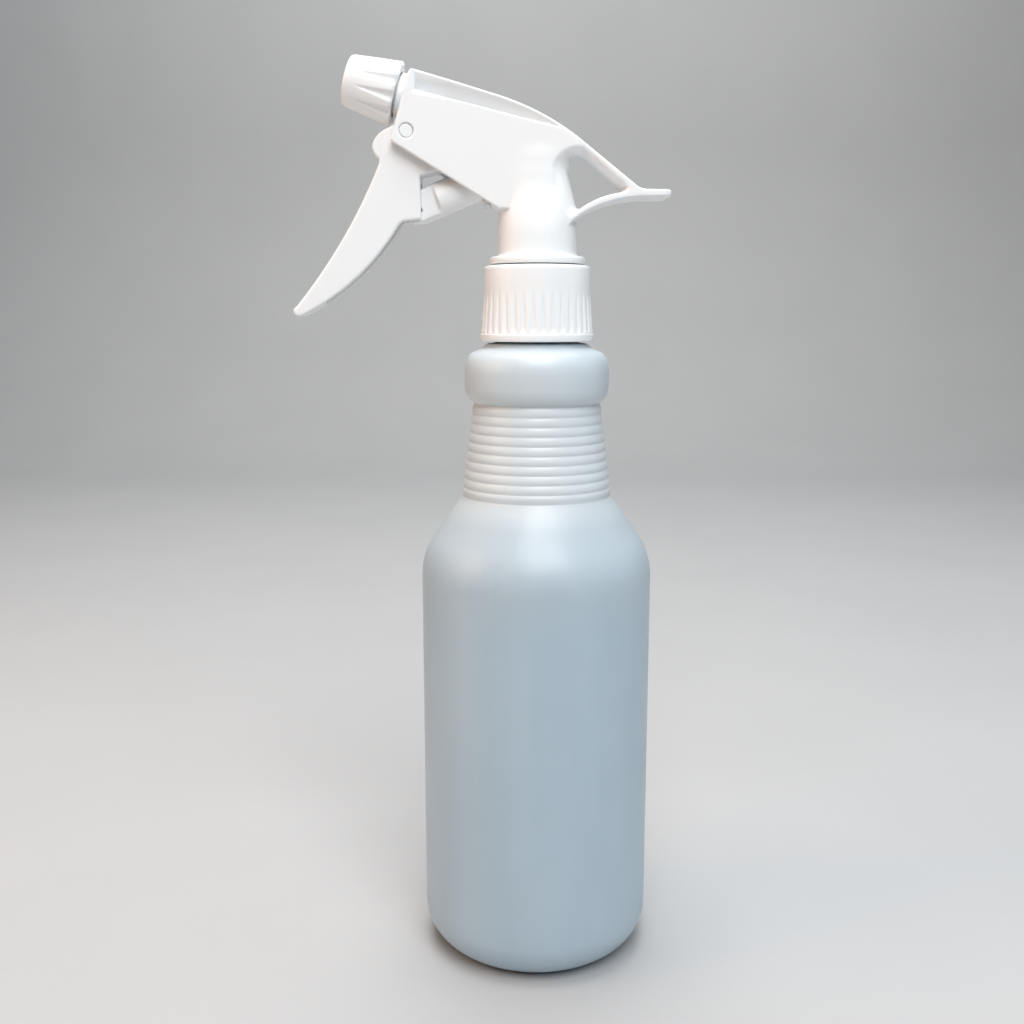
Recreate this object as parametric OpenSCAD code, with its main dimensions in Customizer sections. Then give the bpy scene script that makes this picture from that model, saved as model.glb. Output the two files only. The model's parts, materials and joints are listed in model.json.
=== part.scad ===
// Trigger spray bottle, about half a litre, with a 28 mm screw closure.
// Frame: Z up, origin at the middle of the bottle's base, the nozzle points towards -X.

/* [Bottle] */
// Diameter of the straight body
body_d = 72.5; // [70:0.5:75]
// Height at which the shoulder starts
body_h = 123; // [118:1:126]
// Radius where the side turns into the base
base_fillet = 13.5; // [8:0.5:15]
// Wall of the blown bottle
bottle_wall = 1.1; // [0.9:0.1:1.4]
// Number of grip ribs round the neck
neck_ribs = 10; // [6:1:12]
// Height of a grip rib
rib_h = 0.4; // [0.3:0.05:0.6]
// Diameter of the bulb under the closure
bulb_d = 44.8; // [43:0.2:46]

/* [Closure] */
// Rise of the closure's thread in one turn, six to the inch
thread_pitch = 4.233; // [4.2:0.001:4.3]
// Turns of thread on the neck
thread_turns = 1.5; // [1:0.25:1.5]
// Diameter over the bead at the foot of the closure
collar_d = 35.1; // [34.5:0.1:36]
// Number of grip flutes round the closure
collar_flutes = 36; // [24:1:40]

/* [Sprayer head] */
// Width of the shroud across its side panels
shroud_w = 16.4; // [16.2:0.1:17]
// Diameter of the shroud's round column
column_d = 24.2; // [23.6:0.1:24.4]
// Wall of the moulded shroud
shroud_wall = 1.3; // [1:0.1:1.4]
// Upward tilt of the nozzle's axis
nozzle_tilt = 15.5; // [14:0.5:16]
// Upward tilt of the pump's axis, front to back
pump_tilt = 22.5; // [21.5:0.5:23]
// Length of the nozzle knob
knob_l = 14.9; // [14:0.1:15.5]
// Number of grip flutes round the nozzle knob
knob_flutes = 12; // [8:1:18]

/* [Trigger and pump] */
// Width of the trigger
trigger_w = 9.8; // [9:0.1:10]
// Diameter of the trigger's pivot
pivot_d = 4; // [3:0.5:4]
// Diameter of the piston
piston_d = 10.3; // [10:0.1:10.4]
// Outside diameter of the dip tube
dip_tube_d = 6; // [5:0.5:6]

/* [Hidden] */
$fn = 64;
eps = 0.01;
run_gap = 0.05;       // radial clearance of a running fit

// ---- heights of the bottle
cone_slope = 0.683;   // how fast the shoulder narrows with height
cone_a = atan(cone_slope);
shoulder_r = 21.8;    // rounding between side and shoulder
neck_z = 148.4;       // foot of the ribbed neck
neck_r = 23.2;
crease_z = 177.2;     // narrow line under the bulb
crease_r = 19.45;
bulb_z = 185.2;       // middle of the bulb
bulb_top_z = 195.7;
finish_r = 12.5;      // neck under the thread
finish_z = 214.4;     // rim of the mouth
mouth_r = 10.75;
thread_z = 203.4;     // where the thread starts
thread_crest = 13.75;

// ---- heights of the closure's stack
gasket_h = 1.3;
gasket_z = finish_z + run_gap;
flange_z = gasket_z + gasket_h + run_gap;
flange_h = 1.3;
plate_z = flange_z + flange_h + 0.15;
collar_z = 196.3;
collar_top = 219;
collar_bore = 14.2;   // radius inside the closure's skirt
ring_z = 219.4;       // foot of the shroud's ring
ring_h = 2.3;
ring_r = 14.7;
hub_r = 8.6;          // pump body where it passes the closure
socket_r = 6.2;

// ---- inlet valve
ball_r = 2;
stem_top = 224;       // top of the retainer's stem
seat_apex = stem_top - 2.6;
ball_z = seat_apex + ball_r * sqrt(2) + 0.03;
stem_r = 4.5;
stem_bore = 1.6;
stem_end = 257.6;     // top of the pump body's stem

// ---- pump axis: starts at the trigger's foot and runs up and back
pump_x = -29.5;
pump_z = 238.8;
bore_r = piston_d / 2 + run_gap;
barrel_r = 6.5;
mouth_s = 11.6;       // distances along the pump's axis
barrel_end = 32;
bore_end = 30.6;
piston_end = 21.6;
pin_s = -7.8;         // trigger's pin, along the pump's axis and above it
pin_up = 1;
pin_r = 1.4;

// ---- nozzle axis: starts at the knob's rear and runs forward
nozzle_x = -42.6;
nozzle_z = 269.3;
front_s = -3;         // spigot's shoulder, inside the shroud's front wall
tube_r = 3.9;
tube_bore = 2.4;
tube_end = -43.4;
seat_s = -9;          // outlet valve's seat
spigot_r = 5.4;
spigot_crest = 6;
knob_pitch = 2.5;
knob_bore = 6.4;
knob_front_r = 7.4;
knob_rear_r = 9.4;
knob_rear = -0.7;

// ---- trigger
pivot_x = -38.8;
pivot_z = 257.6;
trigger_wall = 1.4;
pin_x = pump_x + pin_s * cos(pump_tilt) - pin_up * sin(pump_tilt);
pin_z = pump_z + pin_s * sin(pump_tilt) + pin_up * cos(pump_tilt);

half_w = shroud_w / 2;
column_r = column_d / 2;
boss_r = 6.45;        // shroud's collar behind the knob
panel_in = half_w - shroud_wall;

// ---- helpers
function arc(cx, cy, r, a0, a1, n = 8) =
    [for (i = [0:n]) let (a = a0 + (a1 - a0) * i / n) [cx + r * cos(a), cy + r * sin(a)]];
function mix(a, b, t) = a * (1 - t) + b * t;
function bend(p, q, s, n = 8) =
    [for (i = [0:n]) let (t = i / n) mix(mix(p, q, t), mix(q, s, t), t)];
function flip(points) = [for (i = [len(points) - 1:-1:0]) points[i]];
function shifted(points, dx, dz) = [for (p = points) [p[0] + dx, p[1] + dz]];

// closed skin over rings of points, each ring with the same number of sides
module skin(rings) {
    m = len(rings[0]);
    n = len(rings);
    sides = [for (i = [0:n - 2], j = [0:m - 1], k = [0, 1])
        let (a = i * m + j, b = i * m + (j + 1) % m)
        k == 0 ? [a, b, a + m] : [b, b + m, a + m]];
    first = [for (j = [1:m - 2]) [0, j + 1, j]];
    last = [for (j = [1:m - 2]) [(n - 1) * m, (n - 1) * m + j, (n - 1) * m + j + 1]];
    polyhedron([for (r = rings) each r], concat(sides, first, last));
}

// helical ridge on the outside of a neck; it fades in and out over its first and last rings
module outer_thread(root, crest, root_w, crest_w, pitch, turns) {
    steps = 20;
    n = steps * turns;
    skin([for (i = [0:n])
        let (a = 360 * i / steps, z = pitch * i / steps,
             r = mix(root, crest, min(1, 0.15 + i / 3, 0.15 + (n - i) / 3)))
        [for (p = [[root, -root_w / 2], [root, root_w / 2], [r, crest_w / 2], [r, -crest_w / 2]])
            [p[0] * cos(a), p[0] * sin(a), z + p[1]]]]);
}

// ridge inside a cap, in short arcs that climb like a helix
module inner_thread(root, crest, root_w, crest_w, pitch, turns) {
    steps = 12;
    overlap = 0.5;
    for (i = [0:steps * turns - 1])
        rotate([0, 0, 360 * i / steps]) translate([0, 0, pitch * (i + 0.5) / steps])
            rotate_extrude(angle = 360 / steps + overlap)
                polygon([[root, -root_w / 2], [crest, -crest_w / 2],
                         [crest, crest_w / 2], [root, root_w / 2]]);
}

// round wire wound into a coil that starts at z = 0
module coil(r, wire, length, turns) {
    steps = 14;
    sides = 6;
    n = steps * turns;
    skin([for (i = [0:n])
        let (a = 360 * i / steps, z = wire / 2 + (length - wire) * i / n)
        [for (j = [0:sides - 1])
            let (b = -360 * j / sides)
            [(r + wire / 2 * cos(b)) * cos(a), (r + wire / 2 * cos(b)) * sin(a),
             z + wire / 2 * sin(b)]]]);
}

module rod(r, z0, z1) {
    translate([0, 0, z0]) cylinder(r = r, h = z1 - z0);
}

module tube(r, bore, z0, z1) {
    difference() {
        rod(r, z0, z1);
        rod(bore, z0 - eps, z1 + eps);
    }
}

module side_plate(points, y0, y1) {
    translate([0, y1, 0]) rotate([90, 0, 0]) linear_extrude(y1 - y0) polygon(points);
}

module both_sides() {
    children();
    mirror([0, 1, 0]) children();
}

module on_pump_axis() {
    translate([pump_x, 0, pump_z]) rotate([0, 90 - pump_tilt, 0]) children();
}

module on_nozzle_axis() {
    translate([nozzle_x, 0, nozzle_z]) rotate([0, nozzle_tilt - 90, 0]) children();
}

// ---- bottle
function neck_line(z) = neck_r + (crease_r - neck_r) * (z - neck_z) / (crease_z - neck_z);
rib_pitch = (crease_z - 0.3 - neck_z) / neck_ribs;
neck_ribs_line = [for (i = [0:neck_ribs - 1], k = [0:3])
    let (z = neck_z + (i + k / 4) * rib_pitch) [neck_line(z) + rib_h * (1 - cos(90 * k)) / 2, z]];

// profile of the bottle above its base, inset by w; ribs only on the outside
function side_line(w, ribs) = concat(
    arc(body_d / 2 - base_fillet, base_fillet, base_fillet - w, -90, 0),
    arc(body_d / 2 - shoulder_r, body_h, shoulder_r - w, 0, cone_a),
    ribs ? neck_ribs_line : [[neck_r - w, neck_z]],
    [[crease_r - w, crease_z]],
    arc(bulb_d / 2 - 3.6, crease_z + 4.4, 3.6 - w, -60, 0, 5),
    arc(bulb_d / 2 - 5.2, bulb_z + 3.6, 5.2 - w, 0, 68, 6),
    [[ribs ? 14.8 : mouth_r, bulb_top_z - w]]);

module bottle() {
    push_up = 1.8;
    color([0.8, 0.85, 0.89]) union() {
        rotate_extrude($fn = 96) difference() {
            polygon(concat([[0, push_up], [15, push_up], [17, 0]], side_line(0, true),
                           [[finish_r, bulb_top_z + 0.2], [finish_r, finish_z], [0, finish_z]]));
            polygon(concat([[0, push_up + bottle_wall], [15, push_up + bottle_wall],
                            [18, bottle_wall]], side_line(bottle_wall, false),
                           [[mouth_r, finish_z + 1], [0, finish_z + 1]]));
        }
        translate([0, 0, thread_z])
            outer_thread(finish_r - 0.4, thread_crest, 2.3, 1, thread_pitch, thread_turns);
    }
}

// ---- closure
module collar() {
    bead_h = 2.3;
    top_r = 16.35;
    flute_top = 211;
    color("white") union() {
        difference() {
            rotate_extrude($fn = 96) polygon(concat(
                [[collar_bore, collar_z], [collar_d / 2, collar_z],
                 [collar_d / 2, collar_z + bead_h], [collar_d / 2 - 0.4, collar_z + bead_h + 0.2],
                 [top_r, flute_top]],
                arc(top_r - 1, collar_top - 1, 1, 0, 90, 4),
                [[hub_r + 0.4, collar_top], [hub_r + 0.4, plate_z], [collar_bore, plate_z]]));
            for (i = [0:collar_flutes - 1])
                rotate([0, 0, 360 * i / collar_flutes])
                    translate([collar_d / 2 - 0.35, 0, 0])
                        rod(0.9, collar_z + bead_h + 0.2, flute_top - 0.7);
        }
        translate([0, 0, thread_z - thread_pitch / 2])
            inner_thread(collar_bore + 0.4, finish_r + 0.5, 2.3, 1, thread_pitch, thread_turns);
    }
}

module collar_gasket() {
    color("gainsboro") tube(13.4, 9.4, gasket_z, gasket_z + gasket_h);
}

// ---- inlet side
module tube_retainer() {
    vent_r = 0.6;
    color("white") difference() {
        union() {
            rod(13.2, flange_z, flange_z + flange_h);
            rod(socket_r - run_gap, flange_z, stem_top);
            rod(4.4, 204, flange_z + eps);
        }
        rod(dip_tube_d / 2 + 0.02, 203, flange_z);
        rod(1.5, flange_z - 1, stem_top);
        translate([0, 0, seat_apex + 1.2])
            cylinder(r1 = 1.2, r2 = 2.7, h = stem_top - seat_apex - 1.1);
        translate([-7.4, 0, 0]) rod(vent_r, flange_z - 1, flange_z + flange_h + 1);
    }
}

module dip_tube() {
    color([0.93, 0.95, 0.96]) tube(dip_tube_d / 2, dip_tube_d / 2 - 1, 9, flange_z - 0.3);
}

module tube_strainer() {
    slots = 6;
    color("white") difference() {
        rod(dip_tube_d / 2 + 1.2, 4.4, 17);
        rod(dip_tube_d / 2 + 0.02, 9 - run_gap, 18);
        rod(dip_tube_d / 2 - 1, 6, 10);
        for (i = [0:slots - 1])
            rotate([0, 0, 360 * i / slots]) translate([0, -0.4, 6]) cube([6, 0.8, 2.4]);
    }
}

module inlet_ball() {
    color("silver") translate([0, 0, ball_z]) sphere(r = ball_r);
}

// ---- pump body: hub, stem, inclined barrel and discharge tube in one moulding
module pump_body() {
    hub_z = flange_z + flange_h + run_gap;
    hub_top = 229;
    latch_w = 3;
    color("whitesmoke") union() {
        difference() {
            union() {
                rod(hub_r, hub_z, hub_top);
                rod(stem_r, hub_top - 1, stem_end);
                on_pump_axis() rod(barrel_r, mouth_s, barrel_end);
                on_nozzle_axis() rod(tube_r, tube_end, front_s + 1);
                on_nozzle_axis() rod(spigot_r, front_s, 8);
                on_nozzle_axis() rod(tube_r, 7, 13);
            }
            rod(socket_r, hub_z - 1, stem_top + 0.1);
            rod(2.35, stem_top, ball_z + ball_r + 1.35);
            rod(stem_bore, stem_top, stem_end - 1.2);
            on_pump_axis() rod(bore_r, mouth_s - 1, bore_end);
            on_nozzle_axis() rod(tube_bore, seat_s, 14);
            on_nozzle_axis() rod(1.2, tube_end + 1.5, seat_s + 1);
        }
        on_nozzle_axis() translate([0, 0, 0.6])
            outer_thread(spigot_r - 0.3, spigot_crest, 1.1, 0.5, knob_pitch, 2);
        on_pump_axis() both_sides() translate([barrel_r - 0.7, 1, mouth_s])
            cube([1.9, latch_w, 1.4]);
    }
}

// ---- shroud
roof_line = concat([[-38.3, 273]], bend([-38, 274], [-37.6, 275.2], [-36, 274.85], 3),
                   bend([-11.2, 267.45], [1.9, 263.3], [12.2, 255.5]));
rest_top = bend([9, 232.6], [16.4, 239.3], [24.9, 240.1]);
rest_under = bend([8.8, 230.3], [16.2, 238], [31, 238.9]);
hole_line = concat([[4, 236], [4, 247.8]], bend([7, 249.7], [9.8, 253.2], [13.6, 251.8], 6),
                   bend([24.6, 242.6], [26.7, 241], [25.8, 240.2], 4), flip(rest_top));
shroud_side = concat(roof_line, bend([29.2, 242.1], [30.4, 241.1], [32.2, 241], 4),
                     arc(39.1, 239.95, 0.95, 90, -90, 6), flip(rest_under),
                     [[-7, 232], [-7, 235.3], [-11.7, 235.4], [-42.4, 254.1], [-43.5, 255]]);
channel = [[-35.6, 269.1], [-34.6, 273.1], [-11.4, 266.2], [-3, 263.4], [5.6, 258.7]];

module shroud_shell() {
    difference() {
        side_plate(shroud_side, -half_w, half_w);
        side_plate(hole_line, -half_w - 1, half_w + 1);
    }
    // column with its ring, which bulges past the panels and narrows upwards
    rotate_extrude() polygon(concat([[0, ring_z], [ring_r, ring_z]],
        arc(ring_r - 0.6, ring_z + ring_h - 0.6, 0.6, 0, 90, 3),
        bend([column_r + 0.5, ring_z + ring_h], [column_r, ring_z + ring_h],
             [column_r, ring_z + ring_h + 3], 3),
        bend([column_r, 231], [column_r, 237.5], [10.2, 241.5], 6),
        [[9.4, 244.6], [8.7, 248.1], [8.2, 251.4], [5, 253.6], [0, 254]]));
    // collar round the spigot, behind the knob
    on_nozzle_axis() rod(boss_r, front_s - 2, -1);
}

module shroud() {
    web_y = 6.1;
    cheek = 1.2;
    well_r = column_r - shroud_wall - 0.1;
    color("white") difference() {
        shroud_shell();
        // sunken channel under the roof's edge, both sides
        both_sides() side_plate(channel, web_y, half_w + 1);
        // room for the pump body between the panels
        side_plate([[-39.4, 268.2], [-35, 267.6], [3.2, 257.6], [3.2, 230], [-9, 230],
                    [-9, 239.4], [-19, 235.2], [-46, 252.4], [-42, 255]], -panel_in, panel_in);
        // room for the discharge tube under the roof
        side_plate([[-40.2, 260], [-36.8, 273], [-11.8, 265.9], [0.8, 261.6], [4.6, 258.6],
                    [2, 250], [-34, 258]], -web_y + cheek, web_y - cheek);
        // inside of the column
        rotate_extrude() polygon([[0, ring_z - 1], [well_r, ring_z - 1], [well_r, 235.5],
                                  [7.4, 244.5], [7.2, 249], [stem_r + 0.3, 249],
                                  [stem_r + 0.3, stem_end + 0.3], [0, stem_end + 0.3]]);
        // way out for the spigot, and for the trigger under it
        on_nozzle_axis() rod(spigot_r + run_gap, front_s - 4, front_s + 4);
        side_plate([[-50, 240], [-50, 263.4], [-40.6, 261.8], [-36, 240]],
                   -trigger_w / 2 - 0.4, trigger_w / 2 + 0.4);
        // pivot bore
        translate([pivot_x, 0, pivot_z]) rotate([90, 0, 0])
            cylinder(r = pivot_d / 2 + run_gap, h = shroud_w + 2, center = true);
    }
}

// ---- trigger
front_edge = bend([-47.35, 248.8], [-56.5, 226.9], [-73, 207], 10);
back_edge = bend([-71.6, 203.9], [-52.4, 213.4], [-41.4, 231.2], 10);
lobe = concat(bend([-44, 259.15], [-48.6, 257.4], [-49.4, 253.6], 5), [[-49, 251.3], [-47.4, 249.9]]);
front_line = concat(lobe, front_edge, arc(-72.7, 205.4, 1.6, 150, 290, 5));
trigger_side = concat(arc(pivot_x, pivot_z, 3.9, -20, 130, 8), front_line, back_edge,
                      [[-40.4, 231.9], [-34.9, 232.5], [-35.1, 245.2], [-28.6, 246.9],
                       [-27.8, 249.2]]);
arm_web = [[-35, 243], [-35.1, 245.2], [-28.6, 246.9], [-27.8, 249.2], [-29.2, 248.2],
           [-36.4, 246.2], [-36.4, 243]];

module trigger() {
    side_in = trigger_w / 2 - trigger_wall;
    color("white") union() {
        both_sides() side_plate(trigger_side, side_in, trigger_w / 2);
        // front wall between the two sides, and the web under the arm
        side_plate(concat(front_line, [[-69.8, 206.8]], flip(shifted(front_edge, 1.9, 0.4)),
                          [[-45.9, 251.6], [-43.4, 256.6]]), -side_in - eps, side_in + eps);
        side_plate(arm_web, -side_in - eps, side_in + eps);
        // pivot and the pin that drives the piston
        translate([pivot_x, 0, pivot_z]) rotate([90, 0, 0])
            cylinder(d = pivot_d, h = shroud_w - 0.2, center = true);
        translate([pin_x, 0, pin_z]) rotate([90, 0, 0])
            cylinder(r = pin_r, h = trigger_w - 0.2, center = true);
    }
}

// ---- piston and its seals
seal_s = 18.6;
vent_s = 13.4;
seal_h = 1.8;
groove_r = piston_d / 2 - 0.8;

module piston() {
    tongue_w = 6.4;
    slot_gap = 0.25;
    color("whitesmoke") difference() {
        union() {
            on_pump_axis() rod(piston_d / 2, -0.6, piston_end);
            // flat-sided foot between the trigger's sides, trimmed underneath
            intersection() {
                on_pump_axis() rod(piston_d / 2, -10.6, 0);
                side_plate([[-45, 230.6], [-25, 232.4], [-25, 250], [-45, 250]],
                           -tongue_w / 2, tongue_w / 2);
            }
        }
        on_pump_axis() rod(3.6, 9, piston_end + 1);
        on_pump_axis() tube(piston_d, groove_r, seal_s, seal_s + seal_h);
        on_pump_axis() tube(piston_d, groove_r, vent_s, vent_s + seal_h);
        // slot for the trigger's pin, long enough for the pin to slip sideways
        on_pump_axis() translate([-pin_up - pin_r - slot_gap, -tongue_w, pin_s - pin_r - slot_gap])
            cube([4.3, 2 * tongue_w, 2 * (pin_r + slot_gap)]);
    }
}

module ring_seal(s) {
    color("dimgray") on_pump_axis()
        tube(piston_d / 2 + 0.03, groove_r + 0.02, s + 0.05, s + seal_h - 0.05);
}

module piston_seal() {
    ring_seal(seal_s);
}

module vent_seal() {
    ring_seal(vent_s);
}

module return_spring() {
    color("silver") on_pump_axis() translate([0, 0, 9.1])
        coil(2.9, 0.8, bore_end - 9.2, 7);
}

// ---- outlet side
module outlet_valve() {
    color("silver") on_nozzle_axis() union() {
        translate([0, 0, seat_s - 0.9]) cylinder(r1 = 0.5, r2 = 1.1, h = 0.95);
        rod(tube_bore - 0.35, seat_s + 0.04, seat_s + 1.8);
    }
}

core_s = 2;

module outlet_spring() {
    z0 = seat_s + 1.9;
    color("silver") on_nozzle_axis() translate([0, 0, z0])
        coil(1.6, 0.4, core_s - z0 - 0.1, 7);
}

module swirl_core() {
    flats = 1.7;
    color("gainsboro") on_nozzle_axis() difference() {
        rod(tube_bore - 0.04, core_s, 13.1);
        both_sides() translate([-4, flats, core_s - 1]) cube([8, 2, 9.5]);
        rod(0.9, 12.3, 14);
        translate([-3, -0.25, 12.5]) cube([6, 0.5, 1]);
    }
}

module nozzle_seal() {
    color("dimgray") on_nozzle_axis() tube(5, tube_r + 0.03, 8.7, 10.2);
}

module nozzle_knob() {
    front_wall = 13.4;
    color("white") on_nozzle_axis() union() {
        difference() {
            rotate_extrude() polygon([[0, knob_rear], [knob_rear_r - 0.5, knob_rear],
                [knob_rear_r, knob_rear + 0.5], [8.8, 4.5], [knob_front_r, knob_l - 0.6],
                [knob_front_r - 0.6, knob_l], [0, knob_l]]);
            rod(knob_bore, -1, 8.4);
            rod(5.05, 8, front_wall);
            rod(0.45, front_wall - 1, knob_l + 1);
            translate([0, 0, knob_l - 0.8]) cylinder(r1 = 0.4, r2 = 2.6, h = 0.9);
            for (i = [0:knob_flutes - 1])
                rotate([0, 0, 360 * (i + 0.5) / knob_flutes]) translate([knob_rear_r + 0.55, 0, 0])
                    rod(1.15, -1, 10);
        }
        translate([0, 0, 0.6 + knob_pitch / 2])
            inner_thread(knob_bore + 0.3, spigot_r + 0.35, 1.1, 0.5, knob_pitch, 1.5);
    }
}

bottle();
collar();
collar_gasket();
tube_retainer();
dip_tube();
tube_strainer();
inlet_ball();
pump_body();
shroud();
trigger();
piston();
piston_seal();
vent_seal();
return_spring();
outlet_valve();
outlet_spring();
swirl_core();
nozzle_seal();
nozzle_knob();
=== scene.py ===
"""Trigger spray bottle: looks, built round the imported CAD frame.

Shapes are worked out in millimetres and handed to Blender in metres. Round pieces are turned from
profiles; the moulded head is modelled as distance fields, so that its edges are rounded and its
walls flow into each other, and then meshed.
"""

import json
import math

import bmesh
import bpy
import numpy as np
import openvdb
from mathutils import Euler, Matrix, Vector


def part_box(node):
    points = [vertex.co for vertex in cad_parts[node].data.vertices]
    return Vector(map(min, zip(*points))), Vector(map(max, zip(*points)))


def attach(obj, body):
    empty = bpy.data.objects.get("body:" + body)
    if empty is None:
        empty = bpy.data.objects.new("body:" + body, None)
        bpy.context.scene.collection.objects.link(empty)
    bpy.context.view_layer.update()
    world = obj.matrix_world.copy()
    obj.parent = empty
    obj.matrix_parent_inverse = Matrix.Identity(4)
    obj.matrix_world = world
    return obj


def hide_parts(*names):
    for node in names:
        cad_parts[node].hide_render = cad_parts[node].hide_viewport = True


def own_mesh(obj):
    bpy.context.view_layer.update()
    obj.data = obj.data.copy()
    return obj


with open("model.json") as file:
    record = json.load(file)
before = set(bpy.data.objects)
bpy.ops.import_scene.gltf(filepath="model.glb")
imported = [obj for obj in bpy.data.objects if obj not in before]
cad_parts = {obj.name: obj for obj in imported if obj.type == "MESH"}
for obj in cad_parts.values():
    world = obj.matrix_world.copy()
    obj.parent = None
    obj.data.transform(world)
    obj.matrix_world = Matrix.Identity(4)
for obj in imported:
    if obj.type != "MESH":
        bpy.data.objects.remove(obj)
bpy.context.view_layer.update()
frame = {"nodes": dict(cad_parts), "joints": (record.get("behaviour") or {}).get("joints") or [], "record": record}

MM = 0.001
TAU = 2 * math.pi
scene = bpy.context.scene


# ---------------------------------------------------------------- places taken from the frame
def box_mm(node):
    low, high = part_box(node)
    return np.array(low) / MM, np.array(high) / MM


def joint(name):
    return next(j for j in frame["joints"] if j["name"] == name)


BOTTLE_HIGH = box_mm("bottle")[1]
COLLAR_LOW, COLLAR_HIGH = box_mm("collar")
BODY_R = BOTTLE_HIGH[0]
RIM_Z = BOTTLE_HIGH[2]
COLLAR_R = COLLAR_HIGH[0]
PIVOT = np.array(joint("trigger_pull")["pos_m"]) / MM
NOZZLE_AT = np.array(joint("nozzle_turn")["pos_m"]) / MM
NOZZLE_AXIS = np.array(joint("nozzle_turn")["axis"], float)
PUMP_AXIS = np.array(joint("piston_stroke")["axis"], float)
PUMP_AT = np.array([-29.5, 0, 238.8])  # where the piston's round rod begins
PIN_BACK = 7.8  # from there to the trigger's foot pin, which sits 1 mm above the pump's axis
PIN = (PUMP_AT[0] - PIN_BACK * PUMP_AXIS[0] - PUMP_AXIS[2],
       PUMP_AT[2] - PIN_BACK * PUMP_AXIS[2] + PUMP_AXIS[0])


# ---------------------------------------------------------------- outlines
def arc(cx, cy, r, a0, a1, n=8):
    """Points on a circle from angle a0 to a1, in degrees."""
    turn = np.radians(np.linspace(a0, a1, n + 1))
    return [(cx + r * math.cos(a), cy + r * math.sin(a)) for a in turn]


def bend(p, q, s, n=8):
    """Points on the curve that leaves p towards q and reaches s from q."""
    p, q, s = (np.array(v, float) for v in (p, q, s))
    return [tuple((1 - t) ** 2 * p + 2 * t * (1 - t) * q + t * t * s) for t in np.linspace(0, 1, n + 1)]


def shift(points, dx, dz):
    return [(x + dx, z + dz) for x, z in points]


# ---------------------------------------------------------------- meshes
def make_object(name, points, faces, material, body, slot, *nodes):
    """A smooth piece from points in millimetres; it rides on body and stands for nodes."""
    mesh = bpy.data.meshes.new(name)
    mesh.from_pydata((np.asarray(points, float) * MM).tolist(), [], faces)
    mesh.shade_smooth()
    mesh.materials.append(material)
    obj = bpy.data.objects.new(name, mesh)
    scene.collection.objects.link(obj)
    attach(obj, body)
    if nodes:
        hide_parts(*nodes)
    return obj


def turned(profile, angles, radius_at):
    """Points and faces of a closed profile of (r, z) turned round Z. radius_at(r, z, angles) gives r."""
    n = len(angles)
    points = []
    for r, z in profile:
        rr = radius_at(r, z, angles)
        points.append(np.stack([rr * np.cos(angles), rr * np.sin(angles), np.full(n, z)], 1))
    points = np.concatenate(points)
    rows = len(profile)
    faces = []
    for i in range(rows):
        k = (i + 1) % rows
        if profile[i][0] == 0 and profile[k][0] == 0:
            continue
        for j in range(n):
            m = (j + 1) % n
            faces.append((i * n + j, i * n + m, k * n + m, k * n + j))
    return points, faces


def weld(obj):
    """Joins points that fall together, as on the axis of a turned piece, and turns faces outward."""
    bm = bmesh.new()
    bm.from_mesh(obj.data)
    bmesh.ops.remove_doubles(bm, verts=bm.verts, dist=1e-7)
    bmesh.ops.dissolve_degenerate(bm, edges=bm.edges, dist=1e-8)
    bmesh.ops.recalc_face_normals(bm, faces=bm.faces)
    bm.to_mesh(obj.data)
    bm.free()
    obj.data.shade_smooth()


def along(points, at, axis):
    """Turns points whose Z runs along a part's own axis into the frame's coordinates."""
    z = Vector(axis).normalized()
    y = Vector((0, 1, 0))
    x = y.cross(z).normalized()
    turn = np.array([x, y, z])
    return np.asarray(points) @ turn + at


def ridge(root, crest, root_w, crest_w, pitch, turns, z0):
    """Points and faces of a helical thread ridge that fades in and out at its ends."""
    steps, fade = 48, 8
    n = int(steps * turns)
    points = []
    for i in range(n + 1):
        a = TAU * i / steps
        grow = min(1.0, 0.1 + i / fade, 0.1 + (n - i) / fade)
        r = root + (crest - root) * grow
        z = z0 + pitch * i / steps
        for rr, dz in ((root, -root_w / 2), (r, -crest_w / 2), (r, crest_w / 2), (root, root_w / 2)):
            points.append((rr * math.cos(a), rr * math.sin(a), z + dz))
    faces = [(i * 4 + j, i * 4 + (j + 1) % 4, i * 4 + 4 + (j + 1) % 4, i * 4 + 4 + j)
             for i in range(n) for j in range(4)]
    faces += [(3, 2, 1, 0), tuple(4 * n + j for j in range(4))]
    return np.array(points), faces


def joined(*parts):
    """Several (points, faces) as one."""
    points, faces, base = [], [], 0
    for p, f in parts:
        points.append(np.asarray(p))
        faces += [tuple(i + base for i in face) for face in f]
        base += len(p)
    return np.concatenate(points), faces


# ---------------------------------------------------------------- distance fields
class Grid:
    """Sample points on a regular grid, in millimetres."""

    def __init__(self, low, high, step):
        self.low, self.step = np.array(low, float), step
        count = np.ceil((np.array(high) - self.low) / step).astype(int) + 1
        x, y, z = (np.float32(low[i] + step * np.arange(count[i])) for i in range(3))
        self.x, self.y, self.z = x[:, None, None], y[None, :, None], z[None, None, :]

    def local(self, at, axis):
        """Height along an axis in the XZ plane, and the two offsets from it (up in the plane, and Y)."""
        dx, dz = self.x - at[0], self.z - at[2]
        return dx * axis[0] + dz * axis[2], dx * -axis[2] + dz * axis[0], self.y


def polygon(points, u, v):
    """Signed distance to a closed outline, negative inside."""
    p = np.array(points, np.float32)
    best = np.full(np.broadcast(u, v).shape, 1e9, np.float32)
    inside = np.zeros(best.shape, bool)
    for a, b in zip(p, np.roll(p, -1, 0)):
        e = b - a
        if e @ e < 1e-9:
            continue
        du, dv = u - a[0], v - a[1]
        t = np.clip((du * e[0] + dv * e[1]) / (e @ e), 0, 1)
        best = np.minimum(best, (du - t * e[0]) ** 2 + (dv - t * e[1]) ** 2)
        if e[1]:
            inside ^= ((a[1] > v) != (b[1] > v)) & (u < e[0] * dv / e[1] + a[0])
    return np.where(inside, -1, 1) * np.sqrt(best)


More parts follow.
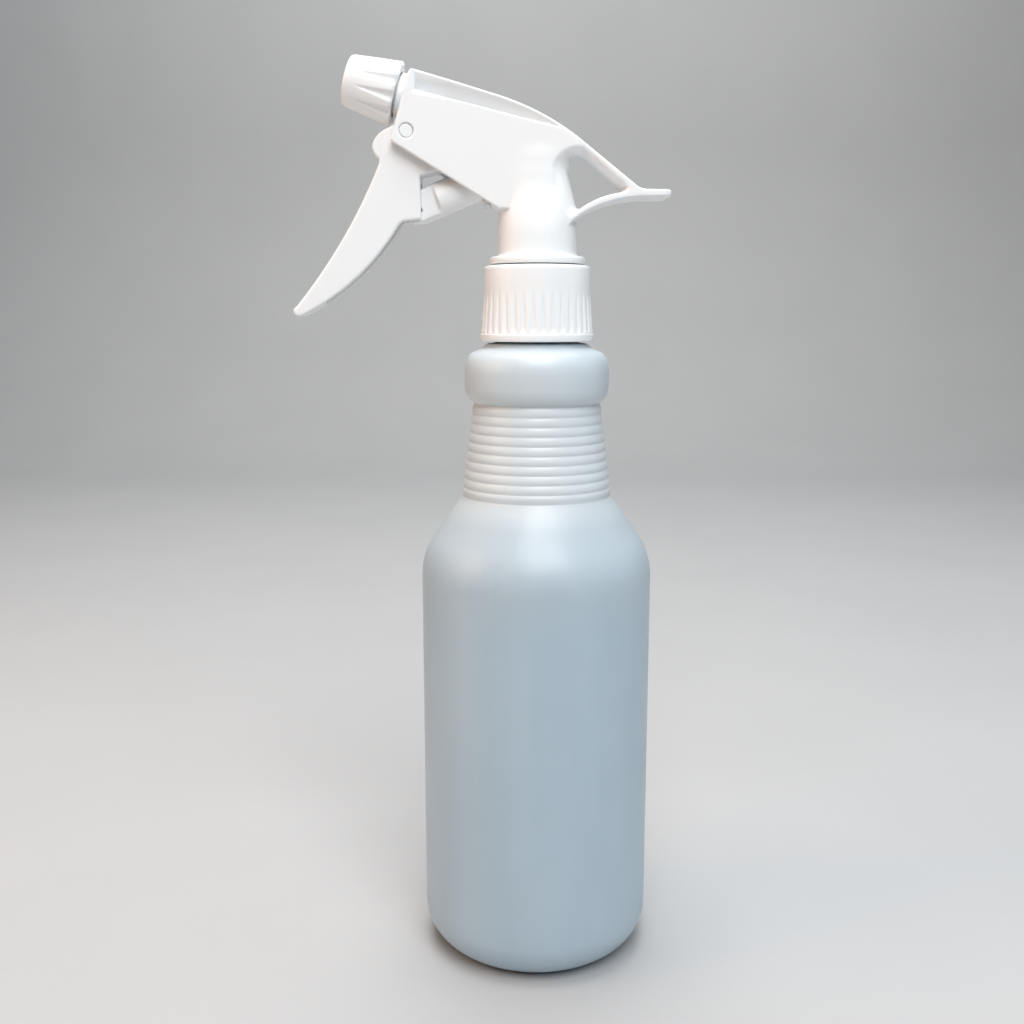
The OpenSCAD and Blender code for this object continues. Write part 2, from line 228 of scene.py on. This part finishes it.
def corner(a, b, r=0.0):
    """Where two regions overlap, with the edge between them rounded to r."""
    a, b = a + r, b + r
    return np.minimum(np.maximum(a, b), 0) + np.hypot(np.maximum(a, 0), np.maximum(b, 0)) - r


def plate(g, points, half, r=0.0):
    """An outline in XZ as a plate from -half to half in Y, its rim rounded to r."""
    return corner(polygon(points, g.x[:, :1, :], g.z), np.abs(g.y) - half, r)


def lathe_field(g, profile):
    """A profile of (r, z) turned round Z."""
    r = np.hypot(g.x, g.y)[:, :, 0]
    reach = np.arange(0, r.max() + 2 * g.step, g.step, dtype=np.float32)
    table = polygon(profile, reach[:, None], g.z[0])
    i = np.floor(r / g.step).astype(int)
    t = (r / g.step - i)[:, :, None].astype(np.float32)
    return table[i] * (1 - t) + table[i + 1] * t


def cylinder(g, at, axis, r, s0, s1, edge=0.0):
    """A cylinder along an axis in the XZ plane, from s0 to s1."""
    s, up, side = g.local(at, axis)
    return corner(np.hypot(up, side) - r, np.abs(s - (s0 + s1) / 2) - (s1 - s0) / 2, edge)


def block(g, at, axis, s0, s1, up0, up1, half, edge=0.0):
    """A block along an axis in the XZ plane."""
    s, up, side = g.local(at, axis)
    lengthways = np.abs(s - (s0 + s1) / 2) - (s1 - s0) / 2
    upwards = np.abs(up - (up0 + up1) / 2) - (up1 - up0) / 2
    return corner(corner(lengthways, upwards, edge), np.abs(side) - half, edge)


def merge(a, b, k=0.0):
    """Union, with a fillet of about k where the two meet."""
    k = np.maximum(k, 1e-3)
    h = np.maximum(k - np.abs(a - b), 0) / k
    return np.minimum(a, b) - h * h * k / 4


def cut(a, b, k=0.0):
    """a without b, with the edge rounded by about k."""
    return -merge(-a, b, k)


def meshed(g, field):
    """Points in millimetres and faces of a field's surface."""
    band = 3 * g.step
    grid = openvdb.FloatGrid(band)
    grid.copyFromArray(np.ascontiguousarray(np.clip(field, -band, band), dtype=np.float32))
    points, quads = grid.convertToQuads(isovalue=0.0)
    return points * g.step + g.low, quads[:, ::-1].tolist()


# ---------------------------------------------------------------- materials
MIX_FACTOR, MIX_A, MIX_B, MIX_RESULT = 0, 6, 7, 2  # the colour sockets of a Mix node


def new_material(name, roughness, ior, subsurface=0.0, radius=(1, 1, 1), scatter=0.001):
    material = bpy.data.materials.new(name)
    material.use_nodes = True
    shader = material.node_tree.nodes["Principled BSDF"]
    shader.inputs["Roughness"].default_value = roughness
    shader.inputs["IOR"].default_value = ior
    shader.inputs["Subsurface Weight"].default_value = subsurface
    shader.inputs["Subsurface Radius"].default_value = radius
    shader.inputs["Subsurface Scale"].default_value = scatter
    return material, material.node_tree, shader


def add(tree, kind, **values):
    """A new node; values set its properties or its inputs by name."""
    node = tree.nodes.new(kind)
    for key, value in values.items():
        if hasattr(node, key):
            setattr(node, key, value)
        else:
            node.inputs[key.replace("_", " ")].default_value = value
    return node


def object_space(tree, stretch=(1, 1, 1)):
    """Coordinates in metres on the piece, stretched along its axes."""
    place = add(tree, "ShaderNodeTexCoord")
    mapping = add(tree, "ShaderNodeMapping")
    mapping.inputs["Scale"].default_value = stretch
    tree.links.new(place.outputs["Object"], mapping.inputs["Vector"])
    return mapping.outputs["Vector"]


def noise(tree, vector, scale, detail=3.0, rough=0.5):
    node = add(tree, "ShaderNodeTexNoise")
    node.inputs["Scale"].default_value = scale
    node.inputs["Detail"].default_value = detail
    node.inputs["Roughness"].default_value = rough
    tree.links.new(vector, node.inputs["Vector"])
    return node.outputs["Fac"]


def spread(tree, value, low, high, from_low=0.3, from_high=0.7):
    """Maps a 0..1 pattern to a range."""
    node = add(tree, "ShaderNodeMapRange")
    for key, number in (("From Min", from_low), ("From Max", from_high), ("To Min", low), ("To Max", high)):
        node.inputs[key].default_value = number
    tree.links.new(value, node.inputs["Value"])
    return node.outputs["Result"]


def tint(tree, value, color_a, color_b):
    """A colour between two fixed ones."""
    node = add(tree, "ShaderNodeMix", data_type="RGBA")
    node.inputs[MIX_A].default_value = (*color_a, 1)
    node.inputs[MIX_B].default_value = (*color_b, 1)
    tree.links.new(value, node.inputs[MIX_FACTOR])
    return node.outputs[MIX_RESULT]


def mixed(tree, value, color_a, color_b):
    """A colour between two colour outputs."""
    node = add(tree, "ShaderNodeMix", data_type="RGBA")
    for link, socket in ((value, MIX_FACTOR), (color_a, MIX_A), (color_b, MIX_B)):
        tree.links.new(link, node.inputs[socket])
    return node.outputs[MIX_RESULT]


def bump(tree, shader, layers):
    """Adds height patterns to a shader as (value, depth in metres)."""
    normal = None
    for value, depth in layers:
        node = add(tree, "ShaderNodeBump")
        node.inputs["Distance"].default_value = depth
        node.inputs["Strength"].default_value = 1
        tree.links.new(value, node.inputs["Height"])
        if normal:
            tree.links.new(normal, node.inputs["Normal"])
        normal = node.outputs["Normal"]
    tree.links.new(normal, shader.inputs["Normal"])


def moulded_plastic(name, color, dark, roughness, subsurface=0.12):
    """Injection-moulded plastic: faint clouding, a fine skin and uneven gloss."""
    material, tree, shader = new_material(name, roughness, 1.49, subsurface, (1, 0.95, 0.9), 0.0012)
    space = object_space(tree)
    cloud = spread(tree, noise(tree, space, 120, 4), 0, 1, 0.1, 0.9)
    tree.links.new(tint(tree, cloud, dark, color), shader.inputs["Base Color"])
    gloss = spread(tree, noise(tree, space, 160, 3), roughness - 0.03, roughness + 0.03, 0.1, 0.9)
    tree.links.new(gloss, shader.inputs["Roughness"])
    skin, waves = noise(tree, space, 1100, 3), noise(tree, space, 90, 2)
    bump(tree, shader, [(skin, 0.000008), (waves, 0.000015)])
    return material


def blown_plastic():
    """Natural blow-moulded polyethylene: milky, with drawn streaks and a fine orange-peel skin. Its colour has
    painted light: it is painted lighter from the shoulder up, lightest in the neck where light passes through it."""
    material, tree, shader = new_material("bottle_plastic", 0.36, 1.5, 0.35, (0.9, 1.0, 1.1), 0.004)
    space = object_space(tree)
    streaks = noise(tree, object_space(tree, (1, 1, 0.12)), 60, 4, 0.55)
    clouds = noise(tree, space, 22, 3)
    both = add(tree, "ShaderNodeMath", operation="ADD")
    tree.links.new(streaks, both.inputs[0])
    tree.links.new(clouds, both.inputs[1])
    wall = spread(tree, both.outputs[0], 0, 1, 0.75, 1.25)
    height = add(tree, "ShaderNodeSeparateXYZ")
    tree.links.new(space, height.inputs[0])
    body = tint(tree, wall, (0.415, 0.525, 0.615), (0.455, 0.565, 0.655))
    # painted light: the shoulder, ribbed neck and bulb bands are painted lighter than the body, for light falling
    # from above and passing through the neck
    lit_shoulder = (0.110, 0.140, (0.46, 0.54, 0.60), (0.50, 0.58, 0.64))
    lit_ribbed_neck = (0.141, 0.151, (0.66, 0.73, 0.78), (0.71, 0.77, 0.815))
    lit_bulb = (0.177, 0.181, (0.60, 0.68, 0.74), (0.65, 0.73, 0.78))
    color = body
    for start, full, thin, thick in (lit_shoulder, lit_ribbed_neck, lit_bulb):
        share = spread(tree, height.outputs["Z"], 0, 1, start, full)
        color = mixed(tree, share, color, tint(tree, wall, thin, thick))
    tree.links.new(color, shader.inputs["Base Color"])
    tree.links.new(spread(tree, noise(tree, space, 70, 4), 0.30, 0.42), shader.inputs["Roughness"])
    skin = noise(tree, space, 1300, 2)
    bump(tree, shader, [(skin, 0.000010), (streaks, 0.00006), (clouds, 0.00015)])
    return material


def rubber(name, color):
    """Matt seal material with a fine grain."""
    material, tree, shader = new_material(name, 0.6, 1.5)
    space = object_space(tree)
    tree.links.new(tint(tree, noise(tree, space, 300, 3), [c * 0.85 for c in color], color),
                   shader.inputs["Base Color"])
    bump(tree, shader, [(noise(tree, space, 1500, 3), 0.00002)])
    return material


def steel(name):
    """Drawn wire, with marks along it."""
    material, tree, shader = new_material(name, 0.25, 2.5)
    shader.inputs["Metallic"].default_value = 1
    space = object_space(tree, (1, 1, 8))
    tree.links.new(tint(tree, noise(tree, space, 400, 3), (0.5, 0.5, 0.51), (0.66, 0.66, 0.67)),
                   shader.inputs["Base Color"])
    tree.links.new(spread(tree, noise(tree, space, 900, 3), 0.18, 0.34), shader.inputs["Roughness"])
    return material


white = moulded_plastic("white_plastic", (0.895, 0.91, 0.92), (0.89, 0.906, 0.917), 0.3)
tube_plastic = moulded_plastic("tube_plastic", (0.80, 0.83, 0.85), (0.74, 0.78, 0.80), 0.35, 0.4)
seal_rubber = rubber("seal_rubber", (0.42, 0.43, 0.44))
spring_steel = steel("spring_steel")
bottle_plastic = blown_plastic()

NODE_LOOKS = {
    "white_pp": white, "clear_pe": tube_plastic, "seal_grey": seal_rubber, "steel": spring_steel,
    "bottle_hdpe": bottle_plastic,
}
for part in frame["record"]["subparts"]:
    node_mesh = frame["nodes"][part["node"]].data
    node_mesh.materials.clear()
    node_mesh.materials.append(NODE_LOOKS[part["material_slot"]])


# ---------------------------------------------------------------- camera and stage
def build_camera():
    """Square on to the side at the closure's height, looking down by about ten degrees."""
    camera = bpy.data.objects.new("camera", bpy.data.cameras.new("camera"))
    camera.data.sensor_width = 36
    camera.data.lens = 39.7
    camera.data.clip_start = 0.01
    camera.location = (-0.00771, -0.3532, 0.20276)
    camera.rotation_euler = Euler((math.radians(80.347), 0, 0))
    scene.collection.objects.link(camera)
    scene.camera = camera


def build_stage():
    """Pale floor that sweeps up into a backdrop."""
    depth, rise, wide, near = 1.6, 1.4, 3.0, 1.6
    radius = 0.5
    profile = [(-near, 0.0), (0.0, 0.0)]
    profile += [(depth - radius + radius * math.sin(a), radius - radius * math.cos(a))
                for a in np.linspace(0, math.pi / 2, 13)]
    profile.append((depth, rise))
    points = [(x, y, z) for y, z in profile for x in (-wide, wide)]
    faces = [(2 * i, 2 * i + 1, 2 * i + 3, 2 * i + 2) for i in range(len(profile) - 1)]
    mesh = bpy.data.meshes.new("floor")
    mesh.from_pydata(points, [], faces)
    mesh.shade_smooth()
    floor = bpy.data.objects.new("floor", mesh)
    scene.collection.objects.link(floor)
    material, tree, shader = new_material("floor_paper", 0.8, 1.4)
    space = object_space(tree)
    tree.links.new(tint(tree, noise(tree, space, 9, 5), (0.45, 0.455, 0.46), (0.49, 0.495, 0.50)),
                   shader.inputs["Base Color"])
    bump(tree, shader, [(noise(tree, space, 500, 4), 0.00005)])
    mesh.materials.append(material)


def add_light(name, location, size, power, color=(1, 1, 1), at=(0, 0, 0.16)):
    """A soft square light that faces the object, or the point at."""
    data = bpy.data.lights.new(name, "AREA")
    data.size = size
    data.energy = power
    data.color = color
    lamp = bpy.data.objects.new(name, data)
    lamp.location = location
    aim = Vector(at) - Vector(location)
    lamp.rotation_euler = aim.to_track_quat("-Z", "Y").to_euler()
    scene.collection.objects.link(lamp)


def build_lights():
    daylight = (0.97, 0.985, 1.0)
    add_light("key", (0.12, -0.80, 1.08), size=0.8, power=13.6, color=daylight)
    add_light("top", (-0.05, 0.0, 1.1), size=0.6, power=7.0, color=daylight)
    add_light("left_warm", (-0.75, -0.2, 0.48), size=0.4, power=1.9, color=(1.0, 0.56, 0.26), at=(0, 0, 0.25))
    add_light("right_cool", (0.9, -0.1, 0.4), size=0.5, power=0.7, color=(0.75, 0.90, 1.0))
    add_light("wall", (0.0, 0.75, 1.5), size=0.9, power=13, at=(0, 1.5, 0.2))
    world = bpy.data.worlds.new("studio")
    world.use_nodes = True
    background = world.node_tree.nodes["Background"]
    background.inputs["Color"].default_value = (0.9, 0.91, 0.92, 1)
    background.inputs["Strength"].default_value = 0.12
    scene.world = world
    scene.view_settings.view_transform = "Standard"


# ---------------------------------------------------------------- bottle
def neck_profile(z0, r0, z1, r1, ribs, height):
    """Grip ribs on the tapered neck: round crests with narrow valleys, the lowest one fainter."""
    steps = 12
    z = np.linspace(z0, z1, ribs * steps + 1)
    phase = (z - z0) / (z1 - z0) * ribs
    crest = np.abs(np.sin(np.pi * phase)) ** 0.75
    fade = np.clip((phase + 0.2) / 0.9, 0, 1)
    line = r0 + (r1 - r0) * (z - z0) / (z1 - z0)
    return list(zip(line + height * fade * crest, z))


def build_bottle():
    wall, fillet, lip = 1.1, 13.5, 0.5
    shoulder_r, shoulder_z = 21.8, 123
    slope = math.degrees(math.atan(0.683))  # of the cone above the shoulder, from upright
    finish_r, bore_r = 12.5, 10.75

    # outside: push-up, body, shoulder, ribbed neck, bulb and finish
    outer = [(0, 1.8), (6, 1.75), (12, 1.5)] + bend((14.5, 1.2), (16.5, 0.1), (18.5, 0), 5)
    outer += arc(BODY_R - fillet, fillet, fillet, -90, 0, 18)
    outer += [(BODY_R, z) for z in np.linspace(20, 118, 8)]
    outer += arc(BODY_R - shoulder_r, shoulder_z, shoulder_r, 0, slope, 12)
    outer += bend((25.9, 144.6), (23.75, 147.3), (23.3, 148.3), 6)
    outer += neck_profile(148.5, 23.15, 176.9, 19.5, ribs=10, height=0.36)
    outer += [(19.45, 177.1), (19.6, 177.5)]
    outer += bend((20.2, 177.9), (21.9, 179.1), (22.3, 182.2), 6)
    outer += bend((22.4, 186.5), (22.3, 190.6), (20.6, 192.3), 8)
    outer += bend((19.9, 192.9), (17.3, 193.9), (16.3, 194.7), 5)
    outer += bend((15.9, 195.2), (15.3, 195.8), (13.2, 195.8), 5) + [(finish_r, 196.3)]
    outer += [(finish_r, 203), (finish_r, RIM_Z - lip)] + arc(finish_r - lip, RIM_Z - lip, lip, 0, 90, 3)

    # inside, back down to the base
    inner = arc(bore_r + lip, RIM_Z - lip, lip, 90, 180, 3) + [(bore_r, 197), (11.5, 195.2)]
    inner += bend((14, 194.3), (21.3, 191.5), (21.3, 186), 8) + [(21.3, 182.5), (20.4, 179.6)]
    inner += [(18.4, 176.9), (22.1, 148.6), (24.7, 144.4)]
    inner += arc(BODY_R - shoulder_r, shoulder_z, shoulder_r - wall, slope, 0, 10)
    inner += arc(BODY_R - fillet, fillet, fillet - wall, 0, -90, 12) + [(15, 2.9), (0, 2.9)]

    sides = 128
    seam = np.radians([-0.9, -0.45, 0, 0.45, 0.9])
    even = np.linspace(0, TAU, sides, endpoint=False) + TAU / (2 * sides)
    angles = np.sort(np.concatenate([even, seam % TAU, seam + math.pi]))

    def seam_line(r, z, a):
        """A faint parting line on the two sides."""
        if r <= finish_r - 0.1 or not 3 < z < RIM_Z - 1:
            return np.full(len(a), r)
        off = np.minimum(np.abs((a + math.pi) % TAU - math.pi), np.abs(a - math.pi))
        return r + 0.07 * np.exp(-(off / math.radians(0.4)) ** 2)

    body = turned(outer + inner, angles, seam_line)
    thread = ridge(12.2, 13.75, root_w=2.3, crest_w=1.0, pitch=4.233, turns=1.5, z0=203.4)
    weld(make_object("bottle_shell", *joined(body, thread), bottle_plastic, "bottle", "bottle_hdpe",
                     "bottle"))


# ---------------------------------------------------------------- closure
def build_collar():
    z0, z1 = COLLAR_LOW[2], COLLAR_HIGH[2]
    bore, hole, roof = 14.2, 9.0, 1.75
    bead, top_r, top_edge = 0.5, 16.35, 1.2
    flutes, flute_low, flute_high = 36, z0 + 2.6, z0 + 14.5
    low_r, high_r = 17.2, 16.4
    profile = [(bore, z0 + 0.4), (bore + 0.4, z0)] + arc(COLLAR_R - bead, z0 + bead, bead, -90, 0, 4)
    profile += arc(COLLAR_R - bead, z0 + 1.9, bead, 0, 75, 4) + [(low_r, z0 + 2.5)]
    profile += [(low_r + (high_r - low_r) * t, flute_low + (flute_high - flute_low) * t)
                for t in np.linspace(0.02, 1, 14)]
    profile += [(top_r, z0 + 16)] + arc(top_r - top_edge, z1 - top_edge, top_edge, 0, 90, 6)
    profile += arc(hole + 0.4, z1 - 0.4, 0.4, 90, 180, 3) + [(hole, z1 - roof), (bore, z1 - roof)]
    n = flutes * 12
    angles = np.arange(n) * TAU / n

    def fluted(r, z, a):
        """Narrow upright grooves that run out to nothing at their top."""
        if r < 15 or not flute_low - 0.05 <= z <= flute_high:
            return np.full(len(a), r)
        t = (z - flute_low) / (flute_high - flute_low)
        depth = 0.62 * min(1, (1 - t) * 1.8) ** 0.7 * min(1, t * 30 + 0.1)
        phase = np.abs((a * flutes / TAU) % 1 - 0.5) * 2
        width = 0.30 + 0.35 * (1 - t)
        groove = np.clip(1 - (phase / width) ** 2, 0, 1) ** 0.8
        return r - depth * groove

    weld(make_object("closure", *turned(profile, angles, fluted), white, "collar", "white_pp", "collar"))


# ---------------------------------------------------------------- nozzle knob
def build_knob():
    length, rear, front_r, rear_r, edge = 14.9, -0.7, 7.4, 9.4, 0.9
    flutes, flute_end = 12, 10.5
    profile = [(6.6, rear + 0.3), (6.9, rear)] + arc(rear_r - edge, rear + edge, edge, -90, 0, 6)
    profile += [(rear_r + (front_r - rear_r) * t, length * t) for t in np.linspace(0.1, 0.92, 22)]
    profile += arc(front_r - edge, length - edge, edge, 0, 90, 6)
    # dish with the orifice, then back inside
    profile += [(3.4, length), (3.1, length - 0.15), (2.4, length - 0.8), (0.45, length - 0.9)]
    profile += [(0.4, length - 1.5), (5.0, length - 1.5), (5.0, 8.4), (6.4, 8.4)]
    n = flutes * 20
    angles = np.arange(n) * TAU / n

    def fluted(r, z, a):
        """Grooves that are widest at the rear edge and end in a point towards the front."""
        if r < 7 or z > flute_end:
            return np.full(len(a), r)
        t = np.clip(z / flute_end, 0, 1)
        phase = np.abs((a * flutes / TAU) % 1 - 0.5) * 2
        width = 0.16 + 0.50 * (1 - t)
        groove = np.clip(1 - (phase / width) ** 2, 0, 1)
        return r - 0.85 * (1 - t) ** 0.6 * groove

    points, faces = turned(profile, angles, fluted)
    points = along(points, NOZZLE_AT, NOZZLE_AXIS)
    weld(make_object("knob", points, faces, white, "nozzle", "white_pp", "nozzle_knob"))


# ---------------------------------------------------------------- shroud
FRONT_LOW, LOWER_REAR = (-43.5, 255.0), (-11.7, 235.45)
ROOF = [(-38.3, 273.0)] + bend((-38.0, 274.0), (-37.6, 275.2), (-36.0, 274.85), 4)
ROOF += bend((-11.2, 267.45), (1.9, 263.3), (12.2, 255.5), 12)
STRUT_END = (29.2, 242.1)
REST_TOP = bend((9.0, 232.6), (16.4, 239.3), (25.6, 240.15), 12)
REST_UNDER = bend((8.8, 230.3), (16.2, 238.0), (31, 238.9), 12)


def build_shroud():
    half, inner = 8.2, 6.9
    column_r, ring_r, ring_z = 12.1, 14.7, 219.4
    g = Grid((-46, -15.6, 218), (41.5, 15.6, 277), 0.3)
    x, z, side = g.x[:, :1, :], g.z, np.abs(g.y)
    crown = 1 - np.minimum(side / half, 1) ** 2

    # panels, roof, strut and thumb rest share one outline; the hole is smaller in the middle than at
    # the panels, so the strut has a rounded belly and the panel rolls in to the hole
    outline = ROOF + bend(STRUT_END, (30.4, 241.1), (32.2, 241.0), 4) + arc(39.1, 239.95, 0.95, 90, -90, 6)
    outline += REST_UNDER[::-1] + [(-7, 232), (-7, 235.3), LOWER_REAR, (-42.4, 254.1), FRONT_LOW]
    hole_out = [(4, 236), (4, 247.4)] + bend((4.9, 249.5), (8.2, 253.6), (13.4, 252.8), 8)
    hole_mid = [(4, 236), (4, 248), (8.7, 248.1)] + bend((9.3, 250.0), (11.4, 252.9), (13.8, 250.9), 8)
    hole_out += bend((25.7, 242.6), (27.6, 241.0), (25.6, 240.15), 6) + REST_TOP[::-1]
    hole_mid += bend((23.6, 242.6), (25.8, 240.9), (24.2, 240.0), 6) + REST_TOP[-2::-1]
    body = corner(polygon(outline, x, z), side - half, 0.5)
    tip = corner(g.x - 40.05, side - half, 3.2) + 0 * g.z
    body = corner(body, tip, 0.3)
    hole = polygon(hole_out, x, z) * (1 - crown) + polygon(hole_mid, x, z) * crown
    body = cut(body, hole, 0.8)

    # column and ring, which bulge past the panels
    column = [(0, ring_z + 0.2), (column_r, ring_z + 0.2)]
    column += bend((column_r, 228), (column_r, 234.5), (10.6, 240.5), 10)
    column += bend((10.6, 240.5), (9.4, 244.8), (8.7, 248.1), 6)
    column += bend((8.5, 249.4), (8.2, 252.4), (5.0, 253.6), 6) + [(0, 254)]
    # its fillet is widest at the thumb rest and at its top, and it flattens upwards into the panels
    soft = 0.5 + 2.2 * np.clip((g.x - 5) / 5, 0, 1) * np.clip((g.z - 231) / 4, 0, 1)
    soft = np.maximum(soft, 0.5 + 2.6 * np.clip((g.z - 237) / 9, 0, 1))
    rise = np.clip((250 - g.z) / 26, 0, 1)
    flank = 8.0 + 4.2 * rise * rise * (3 - 2 * rise)
    body = merge(body, corner(lathe_field(g, column), side - flank, 2.0), soft)
    ring = [(0, ring_z)] + arc(ring_r - 0.6, ring_z + 0.6, 0.6, -90, 0, 4)
    ring += arc(ring_r - 0.9, ring_z + 1.4, 0.9, 0, 90, 5) + [(0, ring_z + 2.3)]
    body = merge(body, lathe_field(g, ring), 1.0)
    boss = cylinder(g, NOZZLE_AT, NOZZLE_AXIS, 6.45, -5, -1, 0.4)
    body = merge(body, boss, 0.5)

    # cove under the roof's edge, deepest where it meets the panel
    under_roof = polygon(ROOF + [(30, 200), (-70, 200), (-70, 282.3)], x, z)
    above_panel = (z - 269.1) * 0.9696 + (x + 35.6) * 0.2447
    below = np.maximum(-under_roof - 0.45, 0)
    share = np.clip(below / np.maximum(below + above_panel, 0.2), 0, 1)
    shallow_front = 0.7 + 0.3 * np.clip((g.x + 34) / 8, 0, 1)
    depth = np.clip(0.8 * (below + above_panel), 0, 3.8) * share * shallow_front
    cove = np.maximum(half - depth - side, -above_panel)
    cove = np.maximum(cove, corner(-35.9 - x, under_roof + 0.4, 0.8))
    body = cut(body, cove, 0.3 + 1.3 * np.clip((-22 - g.x) / 14, 0, 1))

    # hollow inside: room behind the panels, tunnel for the discharge tube, well for hub and stem,
    # way for the spigot, mouth for the trigger, and bores for its pivots
    room = plate(g, [(-39.6, 268.0), (-35, 267.4), (3.2, 257.6), (3.2, 228),
                     (-9, 228), (-9, 239.4), (-19, 235.2), (-48, 252.6), (-42.2, 255)], inner, 0.4)
    tunnel = plate(g, [(-40.4, 260), (-36.8, 273.0), (-11.8, 265.9), (0.8, 261.6), (4.6, 258.6), (2, 250),
                       (-34, 258)], 4.1)
    well_r = column_r - 1.4
    well = lathe_field(g, [(0, 210), (well_r, 210), (well_r, 229.3), (8.6, 238), (7.4, 243.6), (7.3, 249),
                           (4.8, 249), (4.8, 257.9), (0, 257.9)])
    way = cylinder(g, NOZZLE_AT, NOZZLE_AXIS, 5.5, -7, 1)
    mouth = plate(g, [(-50, 240), (-50, 263.4), (-40.6, 261.8), (-36, 240)], 5.3, 0.5)
    bore = np.hypot(g.x - PIVOT[0], g.z - PIVOT[2]) - 2.1 + 0 * g.y
    for gap, k in ((room, 0.3), (tunnel, 0.0), (well, 0.3), (way, 0.3), (mouth, 0.4), (bore, 0.35)):
        body = cut(body, gap, k)
    make_object("cover", *meshed(g, body), white, "head", "white_pp", "shroud")


# ---------------------------------------------------------------- trigger
FRONT = bend((-47.35, 248.8), (-56.5, 226.9), (-73.0, 207.0), 12)
BACK = bend((-71.6, 203.9), (-52.4, 213.4), (-41.4, 231.2), 12)
LOBE = bend((-44.0, 259.15), (-48.6, 257.4), (-49.4, 253.6), 6)
LOBE += bend((-49.4, 253.6), (-49.3, 251.5), (-47.4, 249.9), 4)[1:]


def across(g, x, z, r, half, edge=0.0):
    """A round pin across the head."""
    return corner(np.hypot(g.x - x, g.z - z) - r, np.abs(g.y) - half, edge)


def build_trigger():
    half, wall = 4.9, 1.4
    g = Grid((-76, -9, 202), (-25.5, 9, 263), 0.28)
    side = arc(PIVOT[0], PIVOT[2], 3.9, -20, 130, 10) + LOBE + FRONT
    side += arc(-72.7, 205.4, 1.55, 150, 290, 6) + BACK
    side += [(-40.4, 231.9), (-34.9, 232.5), (-35.1, 245.2), (-28.6, 246.9), (-27.8, 249.2)]
    solid = plate(g, side, half, 0.75)
    hollow = [(-43.6, 256.4), (-46.0, 251.6), (-45.4, 248.4)] + shift(FRONT[1:-2], 1.9, 0.4)
    hollow += [(-64, 204), (-33, 215), (-33, 242.8), (-36.4, 242.8), (-36.4, 246.3), (-29, 248.3),
               (-28.6, 262), (-38, 262)]
    solid = cut(solid, plate(g, hollow, half - wall, 0.3), 0.3)
    pivot_half = 7.85 - 0.13 * (g.x - PIVOT[0])  # its ends slant: nearly flush in front, sunk at the rear
    pins = merge(across(g, PIVOT[0], PIVOT[2], 2.0, pivot_half, 0.15), across(g, *PIN, 1.4, half - 0.3))
    make_object("trigger_lever", *meshed(g, merge(solid, pins, 0.3)), white, "trigger", "white_pp", "trigger")


# ---------------------------------------------------------------- piston
def build_piston():
    g = Grid((-43, -6, 228), (-6, 6, 252), 0.22)
    radius, tongue = 5.15, 3.2
    x, z = g.x[:, :1, :], g.z
    rod = cylinder(g, PUMP_AT, PUMP_AXIS, radius, -0.6, 21.6, 0.3)
    foot = corner(cylinder(g, PUMP_AT, PUMP_AXIS, radius, -10.6, 1, 0.6), np.abs(g.y) - tongue, 0.35)
    under = 231.5 + 0.09 * (x + 35) - z
    solid = merge(rod, corner(foot, under, 0.4), 0.4)
    pin_slot = block(g, PUMP_AT, PUMP_AXIS, -9.45, -6.15, -1.65, 2.65, 6)
    solid = cut(solid, pin_slot, 0.3)
    spring_bore = cylinder(g, PUMP_AT, PUMP_AXIS, 3.6, 9, 25)
    solid = cut(solid, spring_bore, 0.2)
    for s in (18.6, 13.4):  # grooves for the two seals
        groove = cut(cylinder(g, PUMP_AT, PUMP_AXIS, 8, s, s + 1.8),
                     cylinder(g, PUMP_AT, PUMP_AXIS, radius - 0.8, s - 1, s + 3))
        solid = cut(solid, groove)
    make_object("piston_rod", *meshed(g, solid), white, "piston", "white_pp", "piston")


# ---------------------------------------------------------------- springs
def build_spring(name, node, at, axis, ends, r, wire, turns):
    """A coil between ends; the second of ends is its fixed end."""
    steps, sides, slack = 28, 8, 0.1
    start, end = ends
    n = steps * turns
    around = TAU * np.arange(sides) / sides
    points = []
    for i in range(n + 1):
        a = TAU * i / steps
        z = start + wire / 2 + (end - start - wire) * i / n
        rr = r + wire / 2 * np.cos(around)
        points.append(np.stack([rr * math.cos(a), rr * math.sin(a), z + wire / 2 * np.sin(around)], 1))
    faces = []
    for low in range(0, n * sides, sides):
        high = low + sides
        faces += [(low + j, low + k, high + k, high + j) for j, k in zip(range(sides), [*range(1, sides), 0])]
    faces += [tuple(range(sides))[::-1], tuple(n * sides + j for j in range(sides))]
    points = along(np.concatenate(points), at, axis)
    obj = make_object(name, points, faces, spring_steel, "head", "steel", node)
    weld(obj)
    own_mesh(obj)


build_camera()
build_stage()
build_lights()
build_bottle()
build_collar()
build_knob()
build_shroud()
build_trigger()
build_piston()
build_spring("pump_spring", "return_spring", PUMP_AT, PUMP_AXIS, ends=(9.1, 30.5),
             r=2.9, wire=0.8, turns=7)
build_spring("valve_spring", "outlet_spring", NOZZLE_AT, NOZZLE_AXIS, ends=(-7.1, 1.9),
             r=1.6, wire=0.4, turns=7)
